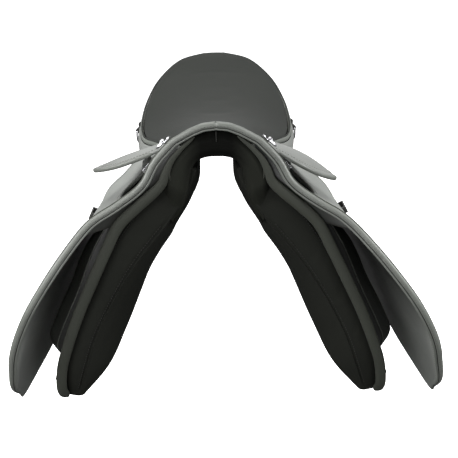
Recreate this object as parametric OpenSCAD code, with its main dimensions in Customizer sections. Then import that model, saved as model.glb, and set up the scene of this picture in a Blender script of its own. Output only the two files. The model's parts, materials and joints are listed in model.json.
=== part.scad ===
// English saddle: moulded tree, padded seat, panels, flaps, skirts, girth straps and fittings.
// Left and right are the rider's: +X is left, -Y is the front, +Z is up. Millimetres.

/* [Seat] */
// Sideways scale of the seat, tree and head; 1 is a seat 266 mm wide
seat_scale = 1.0; // [0.97:0.01:1.03]
// Thickness of the seat cover
cover_t = 2.4; // [1.5:0.1:3]
// Thickness of the foam at the middle of the seat
foam_t = 20; // [14:1:24]
// Thickness of the moulded tree
tree_t = 7; // [5:0.5:9]

/* [Flaps] */
// Thickness of an outer flap
flap_t = 5; // [3:0.5:6]
// Thickness of an under flap
sweat_t = 3.5; // [2:0.5:4]
// Thickness of a skirt
skirt_t = 6; // [3:0.5:7]
// How far the left flap hangs out from its moulded line, in degrees
left_flap_rest = 2; // [0:0.5:4]
// How far the right skirt stands up above the left one, in degrees
right_skirt_rest = 7; // [0:1:10]
// How far the right flap hangs in from its moulded line, in degrees
right_flap_rest = 1.5; // [0:0.5:3]

/* [Panels] */
// Thickness of a panel under the tree
panel_t = 38; // [30:1:40]
// Thickness of a panel at the cantle
panel_back_t = 62; // [46:2:66]
// Thickness of a panel's lower part
panel_low_t = 24; // [16:1:28]

/* [Girth straps] */
// Width of a strap
strap_w = 27; // [22:1:28]
// Thickness of a strap
strap_t = 4; // [3:0.5:4.5]
// Length of a strap below its hinge line
strap_l = 322; // [280:2:326]
// Diameter of a punched hole
hole_d = 5.5; // [4:0.5:7]
// Distance from hole to hole
hole_pitch = 25; // [20:1:28]
// Holes in each strap
holes = 9; // [5:1:9]

/* [Stirrup bars] */
// Length of the bar that carries the stirrup leather
bar_l = 78; // [70:1:84]
// Thickness of the bar
bar_t = 7; // [6:0.5:8]
// Width of the bar
bar_w = 14; // [12:1:16]
// Gap behind the bar for the leather
bar_gap = 9; // [8:0.5:10]

/* [Dee rings] */
// Inside width of a rear dee ring
dee_w = 24; // [20:1:26]
// Inside width of a front dee ring
front_dee_w = 13; // [12:1:15]
// Diameter of a rear ring's wire
dee_d = 3.6; // [3:0.2:4]
// Diameter of a front ring's wire
front_dee_d = 3; // [2.6:0.2:3.4]

/* [Hidden] */
$fn = 32;
clear = 0.4;              // gap between neighbouring pieces
dee_play = 0.5;           // radial play of a dee in its loop
rivet_r = 3.2;
pin_r = 1.6;

// Seat stations, front to back: [y, half width, height at the middle, height at the edge]
seat_rows = [[-210, 50, 150, 122], [-180, 60, 143, 108], [-130, 64, 126, 93], [-80, 68, 112, 83],
             [-30, 82, 103, 75], [20, 104, 101, 69], [70, 126, 104, 65], [115, 133, 114, 77],
             [160, 126, 131, 108], [200, 105, 153, 142], [228, 66, 175, 173], [242, 18, 185, 184]];
seat_crown = 2.6;         // how flat the seat is across before it turns down at its edge

// Outline of the head of the saddle, from the middle down the left side: [x, z]
head_line = [[0, 150], [35, 141], [60, 124], [88, 95], [112, 62]];

// Outer flap: points down its front edge and its rear edge
flap_front = [[60, -212, 124], [88, -214, 95], [112, -217, 62], [148, -222, 33], [185, -228, 8],
              [222, -240, -32], [258, -246, -79], [290, -245, -128], [316, -236, -182],
              [331, -219, -232], [336, -196, -272], [327, -142, -303]];
flap_rear = [[104, 80, 46], [122, 76, 36], [142, 70, 20], [164, 58, -6], [185, 46, -30],
             [205, 32, -60], [222, 22, -102], [244, 12, -150], [267, 2, -200],
             [287, -8, -246], [301, -30, -284], [316, -84, -308]];
flap_sag = 15;            // how far the upper flap dips between its front and rear edge
fold_at = 0.37;           // share of the flap's height above its fold line
flap_fold_gap = 0.005;    // share of the flap's height left open at the fold line

// Under flap
sweat_front = [[153, -194, 5], [158, -190, -10], [168, -186, -42], [188, -180, -95], [208, -172, -145],
               [230, -160, -195], [248, -146, -238], [258, -122, -268]];
sweat_rear = [[154, 38, -44], [166, 32, -64], [178, 22, -86], [194, 10, -120], [210, -2, -156],
              [227, -18, -194], [240, -40, -230], [250, -80, -258]];

// Panel: points down its front edge and its rear edge, and the dip between them
panel_front = [[34, -201, 82], [56, -201, 43], [94, -203, 4], [140, -203.5, -50], [178, -203, -115],
               [209, -201, -180], [228, -195, -241], [238, -177, -302]];
panel_rear = [[38, 212, 72], [92, 218, 52], [134, 184, 14], [141, 98, -48], [136, 4, -124],
              [156, -46, -194], [190, -88, -256], [234, -138, -310]];
panel_dip = [46, 46, 28, 10, 0, 0, 0, 0];

// Border roll down the panel's front edge
border_line = [[82, -212, 60], [118, -214, 28], [146, -214, 0], [167, -214, -40], [191, -214, -90],
               [215, -212, -142], [236, -208, -196], [250, -202, -240], [256, -191, -284], [252, -172, -310]];

// Skirt over the stirrup bar: the ends of its seam, and points round its outer edge
skirt_seam = [[69, -184, 112], [92, -14, 71]];
skirt_edge = [[90, -184, 99], [144, -166, 68], [184, -118, 45], [164, -62, 44], [110, -16, 62]];

// Girth straps: hinge point, end point of the line that they hang along, and each strap's place along Y
strap_top = [172, 0, -22];
strap_end = [287, 0, -325];
strap_y = [-92, -58, -24];

// A smooth curve through the points of P, at t from 0 to 1
function curve(P, t) = let (n = len(P) - 1, s = max(0, min(1, t)) * n, i = min(floor(s), n - 1), f = s - i,
    a = P[max(i - 1, 0)], b = P[i], c = P[i + 1], d = P[min(i + 2, n)])
    0.5 * (2 * b + (c - a) * f + (2 * a - 5 * b + 4 * c - d) * f * f + (3 * b - a - 3 * c + d) * f * f * f);

function mix(a, b, w) = a * (1 - w) + b * w;
function unit(v) = v / norm(v);
function clampi(i, n) = max(0, min(n, i));

// Normal of a grid of points at row i, column j
function grid_normal(G, i, j) = let (r = len(G) - 1, c = len(G[0]) - 1)
    unit(cross(G[clampi(i + 1, r)][j] - G[clampi(i - 1, r)][j], G[i][clampi(j + 1, c)] - G[i][clampi(j - 1, c)]));

// The grid moved along its own normals by d
function shifted(G, d) = [for (i = [0:len(G) - 1]) [for (j = [0:len(G[0]) - 1]) G[i][j] + grid_normal(G, i, j) * d]];

// A closed solid between two grids of the same size, with an optional window of cells left out
module skin(A, B, window = [-1, -1, -1, -1]) {
    r = len(A);
    c = len(A[0]);
    n = r * c;
    function id(i, j) = i * c + j;
    function open(i, j) = i >= window[0] && i < window[1] && j >= window[2] && j < window[3];
    function solid(i, j) = i >= 0 && i < r - 1 && j >= 0 && j < c - 1 && !open(i, j);
    points = [for (G = [A, B]) for (row = G) for (p = row) p];
    top = [for (i = [0:r - 2]) for (j = [0:c - 2]) if (solid(i, j))
        each [[id(i, j), id(i + 1, j), id(i + 1, j + 1)], [id(i, j), id(i + 1, j + 1), id(i, j + 1)]]];
    bottom = [for (f = top) [f[2] + n, f[1] + n, f[0] + n]];
    walls = [for (i = [0:r - 2]) for (j = [0:c - 2]) if (solid(i, j))
        for (e = [[i - 1, j, id(i, j + 1), id(i, j)], [i + 1, j, id(i + 1, j), id(i + 1, j + 1)],
                  [i, j - 1, id(i, j), id(i + 1, j)], [i, j + 1, id(i + 1, j + 1), id(i, j + 1)]])
        if (!solid(e[0], e[1])) each [[e[3], e[2], e[2] + n], [e[3], e[2] + n, e[3] + n]]];
    polyhedron([for (p = points) p], concat(top, bottom, walls), convexity = 8);
}

// A plate of thickness t whose middle is the grid
module plate(G, t, window = [-1, -1, -1, -1]) {
    skin(shifted(G, t / 2), shifted(G, -t / 2), window);
}

// A tube along a curve, with an oval section a wide and b high
module piping(P, a, b, rings, sides = 8, ends = [0, 1]) {
    pts = [for (i = [0:rings]) curve(P, mix(ends[0], ends[1], i / rings))];
    ring = [for (i = [0:rings]) let (d = unit(pts[min(i + 1, rings)] - pts[max(i - 1, 0)]),
        s = unit(cross(d, [0.1, 1, 0.05])), u = cross(s, d))
        [for (k = [0:sides - 1]) pts[i] + s * (a / 2 * cos(360 * k / sides)) + u * (b / 2 * sin(360 * k / sides))]];
    points = [for (q = ring) for (p = q) p];
    body = [for (i = [0:rings - 1]) for (k = [0:sides - 1]) let (m = (k + 1) % sides, o = i * sides, q = (i + 1) * sides)
        each [[o + k, o + m, q + m], [o + k, q + m, q + k]]];
    caps = [[for (k = [sides - 1:-1:0]) k], [for (k = [0:sides - 1]) rings * sides + k]];
    polyhedron(points, concat(body, caps), convexity = 6);
}

// Draws its children on the left, or mirrored on the right
module on(side) {
    if (side == "left") children();
    else mirror([1, 0, 0]) children();
}

// Turns its children by a degrees about the line from p along d
module about(p, d, a) {
    translate(p) rotate(a, d) translate(-p) children();
}

// ---- Seat ----
seat_n = 26;
seat_m = 16;
// A point of the seat's top, let down by drop and drawn in by inset
function seat_point(t, u, drop, inset) = let (s = curve(seat_rows, t), w = s[1] * seat_scale - inset,
    e = pow(abs(u), seat_crown)) [u * w, s[0] - inset * pow(t, 6), mix(s[2], s[3], e) - drop];
function seat_grid(drop, inset, t0 = 0, t1 = 1) = [for (i = [0:seat_n]) [for (j = [0:seat_m])
    seat_point(mix(t0, t1, i / seat_n), sin(90 * (2 * j / seat_m - 1)), drop, inset)]];

module seat_cover() {
    color("#4a4d49") skin(seat_grid(cover_t, cover_t), seat_grid(0, 0));
}

function foam_drop(u) = mix(foam_t, 6, pow(abs(u), 3));
module seat_foam() {
    top = seat_grid(cover_t + clear, cover_t + clear, 0.02, 0.985);
    under = [for (i = [0:seat_n]) [for (j = [0:seat_m]) let (u = sin(90 * (2 * j / seat_m - 1)), t = mix(0.02, 0.985, i / seat_n))
        seat_point(t, u, cover_t + clear + foam_drop(u) * min(1, 0.2 + 1.6 * t), cover_t + clear + 1.6)]];
    color("#d8cf9a") skin(under, top);
}

// Tree: a moulded shell under the foam, with side rails that carry the stirrup bars
shell_start = 0.16;
rail_cols = 3;
function rail(t) = max(0, 1 - pow(max(0, (t - 0.16) / 0.22), 2));
function shell_inset(t) = 6 + 9 * min(1, max(0, (t - 0.52) / 0.1));
function shell_row(t, drop) = let (s = curve(seat_rows, t), w = s[1] * seat_scale - shell_inset(t),
    mid = [for (j = [0:12]) let (u = sin(90 * (j / 6 - 1))) [u * w, s[0] - 6 * pow(t, 6),
        mix(s[2], s[3], pow(abs(u), seat_crown)) - drop - cover_t - clear - mix(foam_t, 6, pow(abs(u), 3))]],
    side = [for (k = [1:rail_cols]) let (f = k / rail_cols * (4 + 20 * rail(t))) [w + f, s[0] - 6 * pow(t, 6),
        mid[12][2] - f * 0.85]])
    concat([for (k = [rail_cols - 1:-1:0]) [-side[k][0], side[k][1], side[k][2]]], mid, side);
module tree_shell() {
    upper = [for (i = [0:18]) shell_row(mix(shell_start, 0.88, i / 18), 4.4)];
    lower = [for (i = [0:18]) shell_row(mix(shell_start, 0.88, i / 18), 4.4 + tree_t)];
    color("#2b2b2b") skin(lower, upper);
}

// Head: an arch of the same line, let in from the outside
function head_point(q, d) = let (p = curve(head_line, q), a = curve(head_line, q + 0.01) - curve(head_line, q - 0.01),
    n = unit([-a[1], a[0]])) (p - n * d);
function head_side(d, q) = [for (i = [0:10]) head_point(i / 10 * q, d)];
module arch(d0, d1, q, y0, y1) {
    outer = head_side(d0, q);
    inner = head_side(d1, q);
    ring = concat([for (i = [10:-1:1]) [-outer[i][0], outer[i][1]]], [[0, outer[0][1]]], [for (i = [1:10]) outer[i]],
                  [for (i = [10:-1:1]) inner[i]], [[0, inner[0][1]]], [for (i = [1:10]) [-inner[i][0], inner[i][1]]]);
    translate([0, y1, 0]) rotate([90, 0, 0]) linear_extrude(y1 - y0) polygon(ring);
}

head_y = [-203, -181];
screw_q = [0.62, 0.86];   // places of the head screws along the head's line
screw_r = 3;
module head_screws(r, from, to) {
    for (s = [-1, 1]) for (q = screw_q) {
        a = head_point(q, from);
        b = head_point(q, to);
        rod([s * a[0], mix(head_y[0], head_y[1], 0.5), a[1]], [s * b[0], mix(head_y[0], head_y[1], 0.5), b[1]], r);
    }
}
// A round rod from a to b
module rod(a, b, r) {
    v = b - a;
    translate(a) rotate([0, acos(v[2] / norm(v)), atan2(v[1], v[0])]) cylinder(r = r, h = norm(v));
}
module tree_head() {
    color("#2b2b2b") difference() {
        arch(18.4, 26.4, 1, head_y[0], head_y[1]);
        head_screws(screw_r + 0.2, 12, 34);
    }
}
module gullet_plate() {
    color("#b9bcc0") difference() {
        arch(26.7, 30.7, 0.97, head_y[0] + 1, head_y[1] - 1);
        head_screws(screw_r + 0.2, 20, 34);
    }
}
module gullet_screws() {
    color("#9a9da1") {
        head_screws(screw_r, 18.3, 32.4);
        head_screws(screw_r * 1.7, 17, 18.3);
    }
}

// Welt down the seat's edge, in one closed horseshoe
welt_d = 5.6;
module seat_welt() {
    color("#6d716b") {
        welt_run(1);
        welt_run(-1);
    }
}
function seat_edge(t, s) = let (p = seat_point(t, 1, 0, 0)) [s * (p[0] - 0.4), p[1], p[2] - welt_d / 2 - 2.9];
module welt_run(s) {
    piping([for (i = [0:24]) seat_edge(s > 0 ? 0.02 + 0.975 * i / 24 : 0.995 - 0.975 * i / 24, s)], welt_d, welt_d, 30);
}

// Back of the cantle: a curved facing from the rim down to the panels
cantle_from = 0.66;
function cantle_row(i, d) = let (a = mix(-1, 1, i / 24), t = mix(1, cantle_from, pow(abs(a), 1.3)), p = seat_point(t, 1, 0, 0),
    x = sign(a) * p[0], top = [x, p[1] - d, p[2] - welt_d - 6.4], low = [x * 0.93, p[1] * 0.93 + 4 - d, mix(65, 51.5, abs(a)) + 18 * sin(180 * abs(a))])
    [for (k = [0:5]) mix(top, low, k / 5) + [0, 4 * sin(36 * k), 0]];
module cantle_back() {
    color("#3f423e") skin([for (i = [0:24]) cantle_row(i, 4)], [for (i = [0:24]) cantle_row(i, 0)]);
}

// Padded binding over the head, from one flap to the other
module head_binding() {
    color("#5b5f58") arch(0.2, 12, 0.6, -219, -213.4);
}

// Front facing of the panels: an arch under the binding
facing_in = [[0, 100], [14, 99], [24, 93], [29, 80], [31, 68], [33, 57], [35, 47], [39, 36]];
facing_out = [[0, 136], [32, 126], [50, 111], [63, 94], [69, 82], [73, 73], [75, 66], [77, 60]];
facing_lip = 6;           // height of the thin lip behind the binding
module front_facing() {
    n = 14;
    outer = [for (i = [0:n]) curve(facing_out, i / n)];
    inner = [for (i = [0:n]) curve(facing_in, i / n)];
    ring = concat([for (i = [n:-1:1]) [-outer[i][0], outer[i][1]]], [for (i = [0:n]) outer[i]],
                  [for (i = [n:-1:1]) inner[i]], [for (i = [0:n]) [-inner[i][0], inner[i][1]]]);
    lip = [for (i = [0:8]) head_point(i / 8 * 0.44, 12.2 - facing_lip)];
    low = [for (i = [8:-1:0]) head_point(i / 8 * 0.44, 15)];
    color("#232521") rotate([90, 0, 0]) {
        translate([0, 0, 204]) linear_extrude(9) polygon(ring);
        translate([0, 0, 210.6]) linear_extrude(2.4) polygon(concat(lip, low,
            [for (p = low) if (p[0] > 1) [-p[0], p[1]]], [for (i = [8:-1:1]) [-lip[i][0], lip[i][1]]]));
    }
}

// ---- Panels ----
panel_n = 15;
panel_m = 18;
function panel_mid(t, w) = mix(curve(panel_front, t), curve(panel_rear, t), w)
    - [0, 0, 4 * w * (1 - w) * curve([for (d = panel_dip) [d, 0, 0]], t)[0]];
function round_off(x) = sqrt(max(0, 1 - pow(abs(2 * x - 1), 5)));
// How far the panel bulges towards the horse, along its length and across it
panel_bulge = [9, 23, 44, 50, 44, 41, 36, 13];
// How far it stands out in front of its middle, along its length
panel_front_out = [10, 13, 19, 20, 17, 16, 15, 9];
bulge_shape = [0.42, 0.78, 0.96, 1, 0.92, 0.74, 0.54, 0.4, 0.3, 0.22, 0.06];
function panel_half(t, w) = mix(mix(panel_t, panel_back_t, pow(w, 2)), panel_low_t, min(1, max(0, (t - 0.1) / 0.36)))
    * max(0.24, round_off(mix(0.03, 0.97, t)) * round_off(mix(0.02, 0.98, w))) / 2;
function list_at(L, t) = curve([for (d = L) [d, 0, 0]], t)[0];
function low_part(t) = min(1, max(0, (t - 0.22) / 0.2));
function panel_outer(t, w) = mix(panel_half(t, w) * mix(0.68, 1, min(1, 5 * w)),
    mix(list_at(panel_front_out, t), panel_half(t, max(w, 0.1)) - 1.5, min(1, w / 0.2)) , low_part(t));
function panel_inner(t, w) = max(panel_half(t, w) * mix(1, 0.7, low_part(t)),
    list_at(panel_bulge, t) * list_at(bulge_shape, w));
module panel(side) {
    mid = [for (i = [0:panel_n]) [for (j = [0:panel_m]) panel_mid(i / panel_n, j / panel_m)]];
    out = [for (i = [0:panel_n]) [for (j = [0:panel_m]) let (n = grid_normal(mid, i, j)) unit([n[0], 0.2 * n[1], n[2]])]];
    on(side) color("#262824") skin(
        [for (i = [0:panel_n]) [for (j = [0:panel_m]) mid[i][j] + out[i][j] * panel_outer(i / panel_n, j / panel_m)]],
        [for (i = [0:panel_n]) [for (j = [0:panel_m]) mid[i][j] - out[i][j] * panel_inner(i / panel_n, j / panel_m)]]);
}
module panel_border(side) {
    on(side) color("#34372f") piping(border_line, 15, 9, 22, 10);
}

// ---- Flaps ----
function flap_mid(t, w) = mix(curve(flap_front, t), curve(flap_rear, t), w)
    - [0, 0, flap_sag * 4 * w * (1 - w) * max(0, 1 - t / fold_at)];
function flap_part(t0, t1, rows, cols) = [for (i = [0:rows]) [for (j = [0:cols]) flap_mid(mix(t0, t1, i / rows), j / cols)]];
fold_a = flap_mid(fold_at, 0);
fold_b = flap_mid(fold_at, 1);
fold_dir = unit(fold_b - fold_a);
fold_out = unit(cross(fold_dir, flap_mid(fold_at + 0.02, 0.5) - flap_mid(fold_at - 0.02, 0.5)));
fold_pos = mix(fold_a, fold_b, 0.5) - fold_out * (flap_t / 2);

module flap_top(side) {
    G = flap_part(0.064, fold_at - flap_fold_gap, 10, 18);
    on(side) color("#565a53") plate(G, flap_t, [0, 7, 1, 7]);
}
module at_rest(side) {
    about(fold_pos, fold_dir, side == "left" ? -left_flap_rest : right_flap_rest) children();
}
module flap(side) {
    G = flap_part(fold_at + flap_fold_gap, 1, 14, 12);
    on(side) at_rest(side) color("#565a53") plate(G, flap_t);
}

module sweat_flap(side) {
    G = [for (i = [0:12]) [for (j = [0:8]) mix(curve(sweat_front, i / 12), curve(sweat_rear, i / 12), j / 8)]];
    on(side) color("#1d1f1c") plate(G, sweat_t);
}

// Knee block: a crescent pad on the under flap, in front of the straps
block_t0 = 0.12;
block_rise = [9, 17, 24, 30, 36, 38, 36, 14];
function block_mid(a, b) = let (t = mix(block_t0, 0.97, a)) mix(curve(sweat_front, t), curve(sweat_rear, t),
    mix(0.03, mix(0.33, 0.28, a), b));
module knee_block(side) {
    base = [for (i = [0:12]) [for (j = [0:6]) block_mid(i / 12, j / 6)]];
    under = shifted(base, sweat_t / 2 + clear);
    top = [for (i = [0:12]) [for (j = [0:6]) under[i][j] + grid_normal(base, i, j)
        * (list_at(block_rise, i / 12) * mix(0.3, 1, sin(180 * pow(mix(0.08, 0.9, j / 6), 0.9))))]];
    on(side) color("#2a2d29") skin(top, under);
}

// ---- Skirts ----
skirt_pos = skirt_seam[0];
skirt_dir = unit(skirt_seam[1] - skirt_seam[0]);
function skirt_mid(i, k) = let (s = i / 16) mix(line_point(s), curve(skirt_edge, s), k) + [0, 0, 6 * sin(180 * k) * sin(180 * s)];
function line_point(s) = mix(skirt_seam[0], skirt_seam[1], s);
module skirt(side) {
    G = [for (i = [0:16]) [for (k = [0:5]) skirt_mid(i, 0.02 + 0.98 * k / 5)]];
    on(side) about(skirt_pos, skirt_dir, side == "left" ? 0 : -right_skirt_rest) color("#8a8d88") plate(G, skirt_t);
}
// Side strip that carries the skirt's line back to the cantle
module seat_side(side) {
    G = [for (i = [0:14]) let (t = mix(0.38, 0.62, i / 14), p = seat_point(t, 1, 0, 0))
        [for (k = [0:3]) [p[0] + 2.5 + 2 * k, p[1], p[2] - welt_d - 6 - 3.4 * k]]];
    on(side) color("#7d817a") plate(G, 3.2);
}

// ---- Stirrup bar ----
bar_pos = [95, -150, 68];
bar_tilt = 42;            // slope of the bar's face from the vertical
bar_fall = -7;            // slope of the bar along the saddle
plate_l = 66;
plate_w = 22;
plate_t = 3;
catch_l = 16;
module bar_frame(side) {
    on(side) translate(bar_pos) rotate([0, -bar_tilt, 0]) rotate([bar_fall, 0, 0]) children();
}
bar_lift = bar_gap + plate_t;
pin_y = bar_l / 2 - 5;
module stirrup_bar(side) {
    bar_frame(side) color("#d9dbdd") difference() {
        union() {
            translate([-plate_t, -plate_l / 2, -plate_w / 2]) cube([plate_t, plate_l, plate_w]);
            // front neck, then the bar itself with a rounded front corner
            translate([-plate_t, -bar_l / 2, -bar_w / 2]) cube([bar_lift + plate_t, bar_t, bar_w]);
            translate([-plate_t, -bar_l / 2, -bar_w / 2]) cube([plate_t, 12, bar_w]);
            translate([bar_gap, -bar_l / 2, -bar_w / 2]) cube([bar_t, bar_l - 10, bar_w]);
            // fork that holds the catch
            for (z = [-bar_w / 2, bar_w / 2 - 3.5])
                translate([bar_gap, bar_l / 2 - 10.5, z]) cube([bar_t, 10.5, 3.5]);
        }
        for (y = rivet_y) translate([-plate_t - 1, y, 0]) rotate([0, 90, 0]) cylinder(r = rivet_r + 0.1, h = plate_t + 2);
        translate([bar_gap + bar_t / 2, pin_y, -bar_w / 2 - 1]) cylinder(r = pin_r, h = bar_w + 2);
    }
}
rivet_y = [-22, 0, 22];
rivet_head = 1.6;
module bar_rivets(side) {
    bar_frame(side) color("#c4c6c8") for (y = rivet_y) translate([-plate_t - 2.5, y, 0]) rotate([0, 90, 0]) {
        cylinder(r = rivet_r, h = plate_t + 2.5);
        translate([0, 0, plate_t + 2.5]) cylinder(r1 = rivet_r * 1.7, r2 = rivet_r * 0.9, h = rivet_head);
    }
}
// Catch: a thumb latch at the bar's open end
module bar_catch(side) {
    bar_frame(side) color("#d9dbdd") difference() {
        union() {
            translate([bar_gap + 0.6, pin_y - 3.2, -bar_w / 2 + 4]) cube([bar_t - 1.2, catch_l, bar_w - 8]);
            translate([bar_gap + 0.6, pin_y - 3.2 + catch_l, 0]) intersection() {
                translate([0, -2, -bar_w / 2 + 4]) cube([bar_t + 2, 5, bar_w - 8]);
                translate([2, -2, -bar_w / 2]) cylinder(r = 4.5, h = bar_w);
            }
        }
        translate([bar_gap + bar_t / 2, pin_y, -bar_w / 2]) cylinder(r = pin_r + 0.05, h = bar_w);
    }
}
module catch_pin(side) {
    bar_frame(side) color("#9a9da1") translate([bar_gap + bar_t / 2, pin_y, -bar_w / 2]) cylinder(r = pin_r, h = bar_w);
}

// ---- Girth straps ----
strap_dir = unit(strap_end - strap_top);
strap_angle = atan2(strap_end[0] - strap_top[0], strap_top[2] - strap_end[2]);
hinge_r = 2.6;
hinge_bore = 0.35;        // radial play of a strap's loop round its bar
// Local frame: -Z down the strap, +X outwards, Y along the saddle
module strap_frame(side) {
    on(side) translate(strap_top) rotate([0, -strap_angle, 0]) children();
}
module girth_strap(side, k) {
    strap_frame(side) translate([0, strap_y[k], 0]) color("#24231f") difference() {
        union() {
            translate([-strap_t / 2, -strap_w / 2, -strap_l + strap_w / 2]) cube([strap_t, strap_w, strap_l - strap_w / 2 - 4]);
            translate([-strap_t / 2, 0, -strap_l + strap_w / 2]) rotate([0, 90, 0]) cylinder(d = strap_w, h = strap_t);
            translate([0, strap_w / 2, 0]) rotate([90, 0, 0]) cylinder(r = hinge_r + hinge_bore + 3, h = strap_w);
        }
        translate([0, strap_w, 0]) rotate([90, 0, 0]) cylinder(r = hinge_r + hinge_bore, h = 2 * strap_w);
        for (i = [0:holes - 1]) translate([-strap_t, 0, -strap_l + 30 + i * hole_pitch]) rotate([0, 90, 0])
            cylinder(d = hole_d, h = 2 * strap_t);
    }
}
// Web from the tree rail, ending in the bar that the straps hang from
module strap_web(side) {
    from = [88, 0, 41];
    web_y = [strap_y[0] - strap_w / 2 - 6, strap_y[2] + strap_w / 2 + 6];
    on(side) color("#3a3a36") difference() {
        union() {
            translate([0, web_y[1], 0]) rotate([90, 0, 0]) linear_extrude(web_y[1] - web_y[0])
                polygon([[from[0], from[2] + 2], [strap_top[0] - 8, strap_top[2] + 10], [strap_top[0], strap_top[2] + 2],
                         [strap_top[0], strap_top[2] - 2], [strap_top[0] - 10, strap_top[2] + 5.4], [from[0] - 2, from[2] - 1.6]]);
            translate([strap_top[0], web_y[1], strap_top[2]]) rotate([90, 0, 0]) cylinder(r = hinge_r, h = web_y[1] - web_y[0]);
        }
        for (y = strap_y) translate([strap_top[0], y + strap_w / 2 + 0.6, strap_top[2]]) rotate([90, 0, 0]) difference() {
            cylinder(r = 9, h = strap_w + 1.2);
            translate([0, 0, -1]) cylinder(r = hinge_r, h = strap_w + 4);
        }
    }
}

// ---- Keeper for the loose end of the stirrup leather, on the flap's rear edge ----
keeper_t = 0.46;
keeper_p = flap_mid(keeper_t, 0.93);
keeper_n = unit(cross(flap_mid(keeper_t + 0.02, 0.9) - flap_mid(keeper_t - 0.02, 0.9),
    flap_mid(keeper_t, 1) - flap_mid(keeper_t, 0.8)));
module leather_keeper(side) {
    on(side) at_rest(side) translate(keeper_p + keeper_n * (flap_t / 2 + 2.2))
        rotate([0, atan2(keeper_n[0], keeper_n[2]), 0]) color("#2c2e2b") difference() {
            translate([-6, -19, 0]) cube([12, 34, 11.5]);
            translate([-7, -15, -1]) cube([14, 26, 10]);
        }
}

// ---- Dee rings and the loops that hold them ----
// Local frame: hinge line along X at the origin, ring hanging down -Z, face towards +Y
module dee(w, d) {
    r = d / 2;
    drop = w * 0.8;
    rotate([0, 90, 0]) translate([0, 0, -w / 2 - r]) cylinder(r = r, h = w + 2 * r);
    for (s = [-1, 1]) translate([s * (w / 2 + r), 0, -drop + w / 2]) cylinder(r = r, h = drop - w / 2);
    for (s = [-1, 1]) translate([s * (w / 2 + r), 0, 0]) sphere(r = r);
    translate([0, 0, -drop + w / 2]) rotate([90, 0, 0]) rotate([0, 0, 180]) rotate_extrude(angle = 180)
        translate([w / 2 + r, 0]) circle(r = r);
}
module dee_loop(w, d, loop_t) {
    r = d / 2 + dee_play;
    difference() {
        union() {
            rotate([0, 90, 0]) translate([0, 0, -w / 2]) cylinder(r = r + loop_t, h = w);
            translate([-w / 2, -r - loop_t, 0]) cube([w, loop_t, 4 * d]);
        }
        rotate([0, 90, 0]) translate([0, 0, -w]) cylinder(r = r, h = 2 * w);
    }
    translate([0, -r, 3 * d]) rotate([-90, 0, 0]) cylinder(r1 = w / 4, r2 = w / 6, h = 0.4 * d);
}
front_pos = [77, -196, 121];
rear_pos = [142, 132, 62];
module front_frame(side) {
    on(side) translate(front_pos) rotate([0, -42, 0]) rotate([0, 0, -90]) children();
}
module rear_frame(side) {
    on(side) translate(rear_pos) rotate([0, 0, -84]) children();
}

tree_shell();
tree_head();
gullet_plate();
gullet_screws();
seat_foam();
seat_cover();
seat_welt();
cantle_back();
head_binding();
front_facing();
for (side = ["left", "right"]) {
    panel(side);
    panel_border(side);
    sweat_flap(side);
    knee_block(side);
    seat_side(side);
    flap_top(side);
    flap(side);
    skirt(side);
    leather_keeper(side);
    strap_web(side);
    for (k = [0:2]) girth_strap(side, k);
    stirrup_bar(side);
    bar_rivets(side);
    bar_catch(side);
    catch_pin(side);
    front_frame(side) color("#d9dbdd") dee_loop(front_dee_w - 5, front_dee_d, 1.4);
    front_frame(side) color("#d9dbdd") dee(front_dee_w, front_dee_d);
    rear_frame(side) color("#24231f") dee_loop(dee_w - 8, dee_d, 2);
    rear_frame(side) color("#d9dbdd") dee(dee_w, dee_d);
}
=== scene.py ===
"""English saddle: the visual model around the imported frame. Lengths in the functions are millimetres, as in the CAD."""
import json
import math

import bmesh
import bpy
import numpy as np
from mathutils import Matrix, Vector


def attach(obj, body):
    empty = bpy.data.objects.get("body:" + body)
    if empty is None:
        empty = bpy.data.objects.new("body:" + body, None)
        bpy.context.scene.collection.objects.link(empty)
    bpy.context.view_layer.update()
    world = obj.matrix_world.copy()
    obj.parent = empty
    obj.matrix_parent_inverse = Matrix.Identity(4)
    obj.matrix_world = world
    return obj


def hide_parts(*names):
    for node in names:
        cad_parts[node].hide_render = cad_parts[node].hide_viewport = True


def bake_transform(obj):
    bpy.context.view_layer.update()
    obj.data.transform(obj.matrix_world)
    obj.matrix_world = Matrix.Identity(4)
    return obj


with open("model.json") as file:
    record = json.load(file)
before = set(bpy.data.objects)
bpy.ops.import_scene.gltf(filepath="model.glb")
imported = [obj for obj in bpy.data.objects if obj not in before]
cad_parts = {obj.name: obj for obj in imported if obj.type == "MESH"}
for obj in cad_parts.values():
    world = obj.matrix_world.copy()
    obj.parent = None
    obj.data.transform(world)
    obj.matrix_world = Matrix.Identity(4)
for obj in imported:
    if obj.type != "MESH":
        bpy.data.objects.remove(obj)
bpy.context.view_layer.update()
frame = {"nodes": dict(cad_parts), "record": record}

MM = 0.001
SWELL_FRAMES = 20
SIDES = {"left": 1.0, "right": -1.0}

# ---------------- camera, light and floor
PITCH, ROLL = 20.35, -1.2
cam_data = bpy.data.cameras.new("camera")
cam_data.lens, cam_data.sensor_width = 62.9, 36.0
cam_data.shift_x = 0.024
cam_data.clip_end = 200
camera = bpy.data.objects.new("camera", cam_data)
bpy.context.collection.objects.link(camera)
camera.matrix_world = (Matrix.Translation((0.0, -1.310, 0.400)) @ Matrix.Rotation(math.radians(90 - PITCH), 4, "X")
                       @ Matrix.Rotation(math.radians(ROLL), 4, "Z"))
bpy.context.scene.camera = camera
bpy.context.scene.view_settings.view_transform = "Standard"


def area_light(name, at, aim, size, power):
    data = bpy.data.lights.new(name, "AREA")
    data.energy, data.size = power, size
    lamp = bpy.data.objects.new(name, data)
    bpy.context.collection.objects.link(lamp)
    lamp.location = at
    lamp.rotation_euler = (Vector(aim) - Vector(at)).to_track_quat("-Z", "Y").to_euler()


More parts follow.
